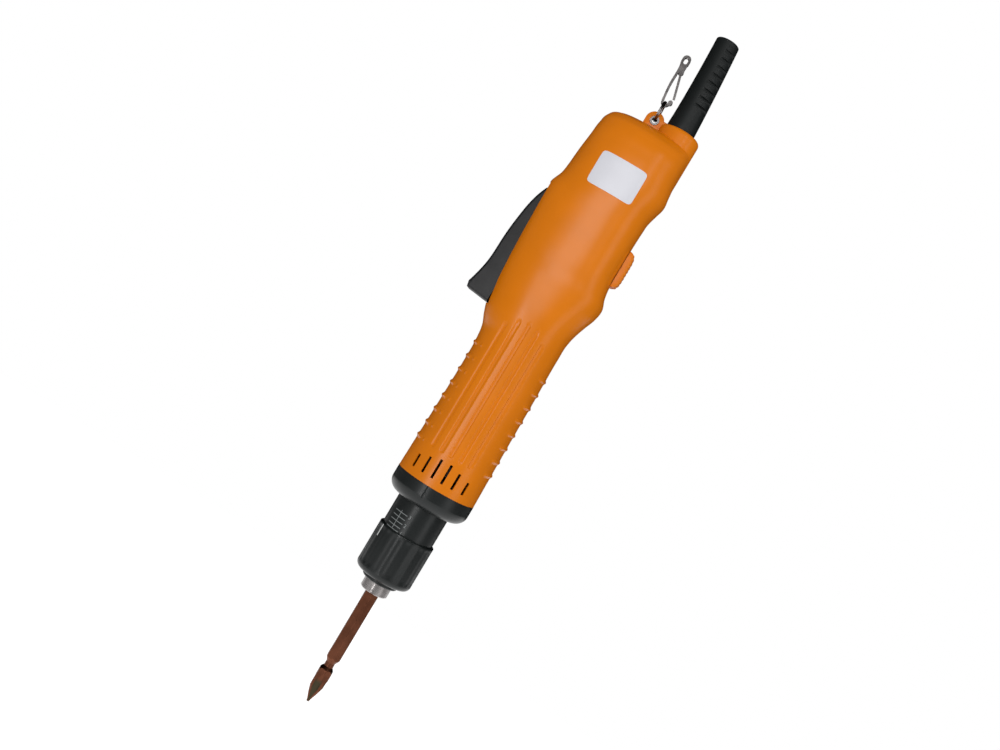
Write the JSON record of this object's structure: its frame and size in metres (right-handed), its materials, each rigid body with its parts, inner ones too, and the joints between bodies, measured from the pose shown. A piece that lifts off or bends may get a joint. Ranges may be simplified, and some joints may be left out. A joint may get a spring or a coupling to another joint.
{
  "type": "electric torque screwdriver",
  "caption": "Hand-held electric torque screwdriver with lever start, forward-reverse slide, adjustable clutch nut, hex bit and hanging hook",
  "frame": {"origin": "middle of the hanging eye at the cord end", "axes": "+Z along the tool to the cord end, -Z to the bit; -X the start lever; +X the reversing slide; -Y the label face"},
  "size_m": [0.0596, 0.0403, 0.3558],
  "materials": {
    "orange_housing": "moulded ABS, satin, fine grain",
    "black_plastic": "moulded, satin",
    "lever_grey": "moulded, satin",
    "boot_rubber": "moulded, dull",
    "label_white": "blank film, satin",
    "bright_steel": "nickel plated",
    "tool_steel": "turned and ground",
    "bit_bronze": "bronze toned tool steel",
    "spring_steel": "drawn wire",
    "zinc_steel": "zinc plated",
    "gear_nylon": "moulded acetal",
    "magnet_dark": "ferrite",
    "copper": "enamelled copper wire",
    "bronze_bush": "sintered bronze",
    "board_green": "glass laminate, solder mask",
    "component_dark": "moulded components",
    "carbon": "carbon brush"
  },
  "bodies": {
    "housing": {"front_shell": "orange_housing", "rear_shell": "orange_housing", "shell_screws": "zinc_steel", "rating_label": "label_white", "hanging_eyelet": "bright_steel", "cord_boot": "boot_rubber", "cord_clamp": "black_plastic", "clamp_screws": "zinc_steel", "lever_pin": "tool_steel", "lever_spring": "spring_steel", "start_switch": "component_dark", "reversing_switch": "component_dark", "circuit_board": "board_green", "board_parts": "component_dark", "motor_can": "zinc_steel", "magnets": "magnet_dark", "motor_end_cap": "black_plastic", "brushes": "carbon", "motor_bearings": "bronze_bush", "ring_gear": "tool_steel", "gearbox_cover": "zinc_steel", "cover_bearing": "bronze_bush", "clutch_housing": "black_plastic", "front_cap": "black_plastic", "thrust_washer": "bronze_bush"},
    "rotor": {"motor_shaft": "tool_steel", "rotor_core": "tool_steel", "windings": "copper", "commutator": "copper", "cooling_fan": "black_plastic", "sun_pinion": "tool_steel"},
    "first_carrier": {"stage_1_carrier": "tool_steel"},
    "spindle": {"stage_2_carrier": "tool_steel", "clutch_balls": "tool_steel", "clutch_cam": "tool_steel", "output_spindle": "tool_steel", "spindle_rings": "spring_steel", "lock_ball": "tool_steel", "screwdriver_bit": "bit_bronze"},
    "sleeve": {"bit_sleeve": "bright_steel", "sleeve_spring": "spring_steel"},
    "seat": {"spring_seat": "zinc_steel", "clutch_spring": "spring_steel"},
    "nut": {"torque_nut": "black_plastic"},
    "lever": {"start_lever": "lever_grey"},
    "plunger": {"switch_plunger": "component_dark"},
    "reverser": {"reversing_knob": "orange_housing"},
    "ring": {"split_ring": "bright_steel"},
    "hook": {"hook_frame": "bright_steel"},
    "gate": {"hook_gate": "bright_steel"},
    "planet_1a": {"stage_1_planet_a": "gear_nylon"},
    "planet_1b": {"stage_1_planet_b": "gear_nylon"},
    "planet_1c": {"stage_1_planet_c": "gear_nylon"},
    "planet_2a": {"stage_2_planet_a": "gear_nylon"},
    "planet_2b": {"stage_2_planet_b": "gear_nylon"},
    "planet_2c": {"stage_2_planet_c": "gear_nylon"}
  },
  "joints": [
    {"name": "lever_press", "type": "hinge", "parent": "housing", "child": "lever", "pos_m": [-0.0214, 0, -0.0532], "axis": [0, -1, 0], "range_deg": [0, 5.5], "stiffness_Nm_per_rad": 0.8, "springref_deg": -6.88},
    {"name": "plunger_slide", "type": "slide", "parent": "housing", "child": "plunger", "axis": [1, 0, 0], "range_m": [-0.0001, 0.0017]},
    {"name": "reverse_slide", "type": "slide", "parent": "housing", "child": "reverser", "axis": [0, 0, 1], "range_m": [-0.0025, 0.0025]},
    {"name": "motor_spin", "type": "hinge", "parent": "housing", "child": "rotor", "pos_m": [0, 0, -0.15], "axis": [0, 0, 1], "continuous": true},
    {"name": "carrier_spin", "type": "hinge", "parent": "housing", "child": "first_carrier", "pos_m": [0, 0, -0.1958], "axis": [0, 0, 1], "continuous": true},
    {"name": "spindle_spin", "type": "hinge", "parent": "housing", "child": "spindle", "pos_m": [0, 0, -0.22], "axis": [0, 0, 1], "continuous": true},
    {"name": "sleeve_slide", "type": "slide", "parent": "spindle", "child": "sleeve", "axis": [0, 0, 1], "range_m": [0, 0.003], "stiffness_N_per_m": 600, "springref_m": -0.002, "deforming": ["sleeve_spring"]},
    {"name": "nut_travel", "type": "slide", "parent": "housing", "child": "seat", "axis": [0, 0, 1], "range_m": [-0.0021, 0.00735], "deforming": ["clutch_spring"]},
    {"name": "nut_turn", "type": "hinge", "parent": "seat", "child": "nut", "pos_m": [0, 0, -0.23], "axis": [0, 0, 1], "range_deg": [-360, 1260]},
    {"name": "ring_swing", "type": "hinge", "parent": "housing", "child": "ring", "pos_m": [0, 0, 0], "axis": [0, 1, 0], "range_deg": [-80, 3]},
    {"name": "hook_swing", "type": "hinge", "parent": "ring", "child": "hook", "pos_m": [0, 0, 0.0101], "axis": [0, 1, 0], "range_deg": [-25, 3]},
    {"name": "gate_open", "type": "hinge", "parent": "hook", "child": "gate", "pos_m": [-0.0009, 0, 0.0253], "axis": [0, 1, 0], "range_deg": [0, 10], "stiffness_Nm_per_rad": 0.01, "springref_deg": -22.92},
    {"name": "planet_1a_spin", "type": "hinge", "parent": "first_carrier", "child": "planet_1a", "pos_m": [0.00675, 0, -0.1923], "axis": [0, 0, 1], "continuous": true},
    {"name": "planet_1b_spin", "type": "hinge", "parent": "first_carrier", "child": "planet_1b", "pos_m": [-0.00337, 0.00585, -0.1923], "axis": [0, 0, 1], "continuous": true},
    {"name": "planet_1c_spin", "type": "hinge", "parent": "first_carrier", "child": "planet_1c", "pos_m": [-0.00337, -0.00585, -0.1923], "axis": [0, 0, 1], "continuous": true},
    {"name": "planet_2a_spin", "type": "hinge", "parent": "spindle", "child": "planet_2a", "pos_m": [0.00675, 0, -0.1989], "axis": [0, 0, 1], "continuous": true},
    {"name": "planet_2b_spin", "type": "hinge", "parent": "spindle", "child": "planet_2b", "pos_m": [-0.00337, 0.00585, -0.1989], "axis": [0, 0, 1], "continuous": true},
    {"name": "planet_2c_spin", "type": "hinge", "parent": "spindle", "child": "planet_2c", "pos_m": [-0.00337, -0.00585, -0.1989], "axis": [0, 0, 1], "continuous": true}
  ],
  "couplings": [
    {"joint": "plunger_slide", "follows": "lever_press", "m_per_rad": 0.0158},
    {"joint": "carrier_spin", "follows": "motor_spin", "ratio": 0.22222},
    {"joint": "spindle_spin", "follows": "motor_spin", "ratio": 0.049383},
    {"joint": "nut_travel", "follows": "nut_turn", "m_per_rad": 0.00033423},
    {"joint": "planet_1a_spin", "follows": "motor_spin", "ratio": -0.62222},
    {"joint": "planet_1b_spin", "follows": "motor_spin", "ratio": -0.62222},
    {"joint": "planet_1c_spin", "follows": "motor_spin", "ratio": -0.62222},
    {"joint": "planet_2a_spin", "follows": "motor_spin", "ratio": -0.13827},
    {"joint": "planet_2b_spin", "follows": "motor_spin", "ratio": -0.13827},
    {"joint": "planet_2c_spin", "follows": "motor_spin", "ratio": -0.13827}
  ]
}
